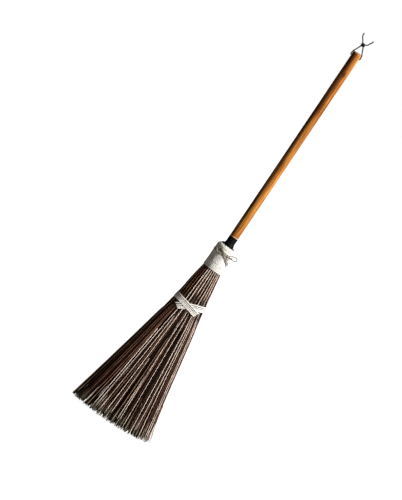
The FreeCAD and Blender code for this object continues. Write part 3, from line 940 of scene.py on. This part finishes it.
# (x, distance from the axis, z), lying on the front of the cuff
LOOP_LEFT = [(0.0025, 0.0316, 0.5559), (-0.0045, 0.0312, 0.5599), (-0.011, 0.0302, 0.5625),
             (-0.0168, 0.0304, 0.5617), (-0.021, 0.0318, 0.5579), (-0.021, 0.032, 0.5525),
             (-0.0168, 0.0316, 0.5487), (-0.011, 0.0315, 0.5473), (-0.0045, 0.0315, 0.5485),
             (0.0025, 0.0316, 0.5511)]
TAIL_LONG = [(0.0044, 0.0316, 0.5495), (0.0084, 0.0312, 0.5447), (0.014, 0.0308, 0.5409),
             (0.0184, 0.0308, 0.5349), (0.0238, 0.031, 0.5311), (0.0258, 0.031, 0.5259)]
TAIL_SHORT = [(0.0068, 0.0318, 0.5495), (0.0118, 0.0314, 0.5478), (0.0156, 0.0312, 0.5442),
              (0.0192, 0.0312, 0.5416), (0.0216, 0.0312, 0.5374), (0.0252, 0.0314, 0.535),
              (0.0274, 0.0316, 0.5308)]
# (x, y, z), standing out past the cuff
LOOP_RIGHT = [(0.0068, -0.0326, 0.5554), (0.0134, -0.0328, 0.5548), (0.0196, -0.0322, 0.5562),
              (0.0254, -0.0312, 0.5592), (0.0314, -0.0304, 0.5616), (0.0374, -0.0298, 0.562),
              (0.0412, -0.0294, 0.559), (0.0416, -0.029, 0.5546), (0.0384, -0.0286, 0.5512),
              (0.0326, -0.0284, 0.5502), (0.0264, -0.0288, 0.5512), (0.02, -0.0294, 0.552),
              (0.0132, -0.0304, 0.5512), (0.007, -0.0314, 0.552)]


def twine(shape, line, fuzz=0):
    rope(shape, line, TWINE_SKIN_R, 3, TWINE_PITCH, fuzz=fuzz)


def on_cuff(route):
    return [(x, -math.sqrt(r * r - x * x), z) for x, r, z in route]


def ring_line(radius, z, start, end, count=180):
    """An arc round the handle's axis, between two angles in radians."""
    return [ring_point(start + (end - start) * k / count, radius, z) for k in range(count + 1)]


def coil_line(centre, half, turns, along, tilt, start=0.0, axis="X"):
    """A short coil round a horizontal or upright axis: the wraps of a knot."""
    steps = int(turns * 28)
    line = []
    for k in range(steps + 1):
        share = k / steps
        angle = start + 2 * math.pi * turns * share
        travel = along * (share - 0.5)
        a, b = math.cos(angle) * half[0], math.sin(angle) * half[1]
        if axis == "X":
            line.append(centre + Vector((travel + tilt * b, a, b)))
        else:
            line.append(centre + Vector((a, b, travel + tilt * a)))
    return line


def add_twine(jute):
    wrap = Shape()
    for z in WRAP_Z:
        radius = cuff_radius(z) + TWINE_R - 0.25 * MM
        twine(wrap, ring_line(radius, z, math.radians(-81), math.radians(271)), fuzz=420)
    wrap_piece = wrap.build("twine_turns", jute)
    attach(wrap_piece, "pole")
    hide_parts("twine_wrap")

    low, high = BOW_KNOT
    centre = (low + high) / 2
    knot = Shape()
    twine(knot, coil_line(centre + Vector((0, 0.3 * MM, 0)), (1.9 * MM, 4.1 * MM), turns=2.6,
                          along=3.6 * MM, tilt=0.22, start=1.2), fuzz=400)
    for bridge in BRIDGES:
        route = [Vector((centre.x + x * MM, centre.y + y * MM, centre.z + z * MM)) for x, y, z in bridge]
        twine(knot, route_line("bridge", route))
    knot_piece = knot.build("bow_knot_turns", jute)
    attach(knot_piece, "pole")
    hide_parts("bow_knot")

    for name, route, far_end in (("bow_loop_left", on_cuff(LOOP_LEFT), "knot"),
                                 ("bow_loop_right", LOOP_RIGHT, "knot"),
                                 ("bow_tail_long", on_cuff(TAIL_LONG), "bare"),
                                 ("bow_tail_short", on_cuff(TAIL_SHORT), "bare")):
        line = route_line(name, route)
        shape = Shape()
        twine(shape, line, fuzz=520)
        if far_end == "bare":
            fray(shape, line, TWINE_R, 12, 2.6 * MM)
        piece = shape.build(name + "_twine", jute)
        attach(piece, "pole")
        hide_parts(name)
        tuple(route[0])
        line_length(line)


def fray(shape, line, radius, count, reach):
    """Loose fibre ends past a cut end."""
    end = line[-1]
    forward = (line[-1] - line[-3]).normalized()
    across = forward.orthogonal()
    up = forward.cross(across)
    for _ in range(count):
        angle = draw.uniform(0, 2 * math.pi)
        out = across * math.cos(angle) + up * math.sin(angle)
        root = end - forward * 0.8 * MM + out * radius * draw.uniform(0.1, 0.75)
        tip = end + forward * reach * draw.uniform(0.2, 0.6) + out * radius * draw.uniform(0.6, 1.5)
        middle = (root + tip) / 2 + out * radius * 0.2
        shape.tube([root, middle, tip], [0.13 * MM, 0.11 * MM, 0.05 * MM], 4, tint=draw.random())


# ---- hanging cord

CORD_R = 1.6 * MM
CORD_SKIN_R = 1.78 * MM           # over the crowns of the strands
CORD_PITCH = 9 * MM
CORD_OWN = 0.62                   # a strand's radius, as a share of the cord's
# offsets in millimetres from the knot's middle, for the cord that passes through it
THROUGH = ((-4.4, -0.4, -4.2), (-2.6, -1.6, -1.8), (0.2, -2.0, 0.2), (2.8, -1.4, 2.0), (4.6, -0.4, 3.6))
HANG_RIGHT = [(0.0001, 0, 1.185), (0.0144, 0, 1.185), (0.0145, 0, 1.1916), (0.014, 0, 1.1976),
              (0.0112, 0, 1.203), (0.0082, 0, 1.2088), (0.006, 0, 1.2152), (0.0026, 0, 1.2214)]
HANG_LEFT = [(-0.0001, 0, 1.185), (-0.0145, 0, 1.185), (-0.0146, 0, 1.1914), (-0.0142, 0, 1.1974),
             (-0.0114, 0, 1.203), (-0.0084, 0, 1.2086), (-0.0062, 0, 1.215), (-0.0028, 0, 1.221)]
TAIL_LEFT = [(-0.0012, -0.0008, 1.2256), (-0.0054, -0.0016, 1.232), (-0.01, -0.0006, 1.2384),
             (-0.0142, 0.001, 1.2444), (-0.016, 0.0006, 1.249), (-0.0142, -0.0006, 1.2536)]
TAIL_RIGHT = [(0.0006, 0.0012, 1.2256), (0.007, 0.002, 1.2288), (0.0118, 0.0006, 1.2326),
              (0.013, -0.0014, 1.2386), (0.0176, -0.001, 1.2422), (0.018, 0.0014, 1.248)]


def cord(shape, line):
    rope(shape, line, CORD_SKIN_R, 4, CORD_PITCH, CORD_OWN)


def add_hanging_cord(waxed):
    low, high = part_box("hang_knot")
    centre = (low + high) / 2
    knot = Shape()
    cord(knot, coil_line(centre, (4.5 * MM, 3.4 * MM), turns=2.3, along=7.4 * MM, tilt=0.35,
                         start=2.6, axis="Z"))
    cord(knot, coil_line(centre, (4.0 * MM, 4.2 * MM), turns=1.6, along=5.2 * MM, tilt=-0.25,
                         start=0.6))
    for side in (-1, 1):
        through = [centre + Vector((side * x * MM, side * y * MM, z * MM)) for x, y, z in THROUGH]
        cord(knot, route_line("through", through))
    knot_piece = knot.build("hang_knot_turns", waxed)
    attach(knot_piece, "hang_loop")
    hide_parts("hang_knot")
    for name, route, far_end, lay in (("hang_cord_left", HANG_LEFT, "knot", "taut"),
                                      ("hang_cord_right", HANG_RIGHT, "knot", "taut"),
                                      ("hang_tail_left", TAIL_LEFT, "bare", "loose"),
                                      ("hang_tail_right", TAIL_RIGHT, "bare", "loose")):
        line = route_line(name, route)
        shape = Shape()
        cord(shape, line)
        if far_end == "bare":
            fray(shape, line, CORD_R, 10, 1.6 * MM)
        piece = shape.build(name + "_waxed", waxed)
        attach(piece, "hang_loop")
        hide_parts(name)
        line_length(line)


# ---- tape band

TAPE_W = 17 * MM
TAPE_T = 0.8 * MM
TAPE_LIFT = 1.5 * MM
LAYER = 1.3 * MM
TAPE_SEAMS = (0.52, 0.02, -0.50)  # rows of stitching, across the tape from -1 to 1
SEWING = ((3.4 * MM, 0.86), (3.4 * MM, 0.66), (5.6 * MM, 0.30))    # pitch and sewn share of each row
HALF_COLUMNS = 25
TAPE_COLUMNS = [k / HALF_COLUMNS - 1 for k in range(2 * HALF_COLUMNS + 1)]
END_STEPS, BACK_STEPS = 70, 90
BACK_V, BACK_V_RUN = -0.05, 0.115      # where the back stretch starts in the UV, and how far it runs
# (x, z) of the tape's middle at the front, from the edge where it comes round to its cut end
OVER_LINE = [(-0.0455, 0.3905), (-0.020, 0.3862), (0.004, 0.3808), (0.0325, 0.3730)]
UNDER_LINE = [(0.0455, 0.3950), (0.020, 0.3885), (0.000, 0.3805), (-0.014, 0.3732), (-0.0270, 0.3656)]


def fan_skin(x, z, out):
    """The point on the fan's outside at the front, at a given x and height, a distance out."""
    width, thickness = fan_half(z)
    width, thickness = width + out, thickness + out
    share = clamp(x / width, -1.0, 1.0)
    p = power(z)
    return Vector((share * width, -(1 - abs(share) ** p) ** (1 / p) * thickness, z))


def seam_dip(t):
    """How far the stitching pulls the tape in, at a place across it from -1 to 1."""
    return 0.60 * MM * sum(hump(t, seam, 0.10) for seam in TAPE_SEAMS)


def strip_rows(line_xz, layer_of, slant):
    """Rows across a tape end that lies on the fan's front, from its middle line in x and z.

    layer_of gives how far up on the other end it lies, and slant is how askew its last part is cut.
    """
    line = route_line("tape", [(x, 0, z) for x, z in line_xz])
    line = even(line, line_length(line) / END_STEPS)
    rows = []
    for index, (point, length) in enumerate(zip(line, running_lengths(line))):
        forward = heading(line, index)
        side = Vector((-forward.z, 0, forward.x))
        if side.z < 0:
            side = -side
        share = index / (len(line) - 1)
        row = []
        for t in TAPE_COLUMNS:
            across = t * TAPE_W / 2
            at = point + side * across + forward * (slant * across * max(share - 0.6, 0) / 0.4)
            ripple = 0.35 * MM * noise.noise(Vector((at.x * 90, at.z * 90, layer_of(share) * 5)))
            curl = 0.5 * MM * (abs(t) ** 4) + seam_dip(t)
            spot = fan_skin(at.x, at.z, TAPE_LIFT + layer_of(share) * LAYER + ripple - curl)
            row.append((spot, across, length))
        rows.append(row)
    return rows


def add_band(tape_look, thread, dark_thread):
    over = strip_rows(OVER_LINE, lambda share: min(share / 0.2, 1.0), slant=0.25)
    under = strip_rows(UNDER_LINE, lambda share: 0.0, slant=0.55)
    # the back stretch joins the two first rows round the back of the fan
    back = []
    for i in range(BACK_STEPS + 1):
        share = i / BACK_STEPS
        angle = math.pi - math.pi * share
        row = []
        for t in TAPE_COLUMNS:
            across = t * TAPE_W / 2
            z_mid = OVER_LINE[0][1] + (UNDER_LINE[0][1] - OVER_LINE[0][1]) * share
            z = z_mid + across
            width, thickness = fan_half(z)
            out = TAPE_LIFT + 0.25 * MM * noise.noise(Vector((angle * 4, z * 90, 2)))
            out -= 0.4 * MM * abs(t) ** 4 + seam_dip(t)
            further = flatten(math.cos(angle), math.sin(angle), z)
            spot = Vector(((width + out) * math.cos(angle) * further,
                           (thickness + out) * math.sin(angle) * further, z))
            row.append((spot, across, BACK_V - share * BACK_V_RUN))
        back.append(row)
    shape = Shape()
    shape.grid(list(reversed(over)) + back + under)
    piece = shape.build("tape_band", tape_look)
    thicken(piece, TAPE_T, 0)
    blend_to_fan(piece)
    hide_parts("tie_band_back", "tie_band_end_over", "tie_band_end_under")
    stitches = Shape()
    for rows in (over, back, under):
        for seam, (pitch, filled) in zip(TAPE_SEAMS, SEWING):
            column = round((seam + 1) * HALF_COLUMNS)
            sew(stitches, [row[column][0] for row in rows], pitch, filled)
    fringes = Shape()
    for rows in (over, under):
        fringe(fringes, rows)
    frayed = fringes.build("tape_fringe", thread)
    blend_to_fan(frayed)
    sewn = stitches.build("tape_stitching", dark_thread)
    blend_to_fan(sewn)


def sew(shape, line, pitch, filled):
    """Stitches along a line of points on the tape, each rising a little out of the cloth."""
    line = even(line, pitch)
    for a, b in zip(line, line[1:]):
        out = Vector((a.x, a.y * 2, 0)).normalized()
        at = [a.lerp(b, share * filled) for share in (0.0, 0.18, 0.5, 0.82, 1.0)]
        rise = (0.15, 0.55, 0.70, 0.55, 0.15)
        shape.tube([p + out * (h * MM) for p, h in zip(at, rise)],
                   [0.42 * MM, 0.60 * MM, 0.66 * MM, 0.60 * MM, 0.42 * MM], 6, tint=draw.random())


def fringe(shape, rows):
    """Short threads past the tape's cut end."""
    last, before = rows[-1], rows[-3]
    for (end, _, _), (inner, _, _) in zip(last, before):
        forward = (end - inner).normalized()
        sway = Vector((draw.gauss(0, 0.25), draw.gauss(0, 0.2), draw.gauss(0, 0.25)))
        tip = end + (forward + sway) * draw.uniform(0.6, 2.2) * MM
        shape.tube([end - forward * 0.5 * MM, end, tip], [0.16 * MM, 0.15 * MM, 0.08 * MM], 4,
                   tint=draw.random())


# ---- put it together

def paint(node, material):
    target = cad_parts[node]
    target.data.materials.clear()
    target.data.materials.append(material)


def main():
    make_camera()
    make_stage()
    waxed = fibre_cord("waxed_cord", (0.014, 0.013, 0.008), (0.004, 0.004, 0.003), 0.60)
    # the jute's darkening to the right is painted shade
    jute = fibre_cord("jute_twine", (0.98, 0.89, 0.74), (0.12, 0.085, 0.05), 0.85, wear_and_painted_shade=True)
    thread = fibre_cord("sewing_thread", (0.62, 0.57, 0.50), (0.26, 0.22, 0.18), 0.8)
    dark_thread = fibre_cord("dark_thread", (0.045, 0.033, 0.026), (0.015, 0.012, 0.010), 0.8)
    # the canvas's dark oval by the bow's left loop is painted shadow
    canvas = woven("canvas", (0.87, 0.85, 0.81), (0.50, 0.45, 0.37), thread=0.75 * MM,
                   depth=0.12 * MM, soil=60, soiling=0.50, stain_and_painted_shadow=(-0.0100, -0.0290, 0.5552))
    tape = woven("cotton_tape", (0.99, 0.96, 0.91), (0.70, 0.62, 0.52), thread=0.62 * MM,
                 depth=0.10 * MM, soil=90, soiling=0.26, stripes=[
                     (TAPE_SEAMS[0] * TAPE_W / 2, 1.1 * MM), (TAPE_SEAMS[1] * TAPE_W / 2, 0.9 * MM)])
    add_sticks(stick_wood())
    add_cuff(canvas, thread)
    add_twine(jute)
    add_hanging_cord(waxed)
    add_band(tape, thread, dark_thread)
    paint("handle", varnished_wood())
    paint("socket", black_plastic())
    paint("socket_screw", steel("screw_steel", (0.50, 0.50, 0.51)))
    for name in ("binding_wire_upper", "binding_wire_lower"):
        paint(name, steel(name, (0.40, 0.39, 0.38)))


main()
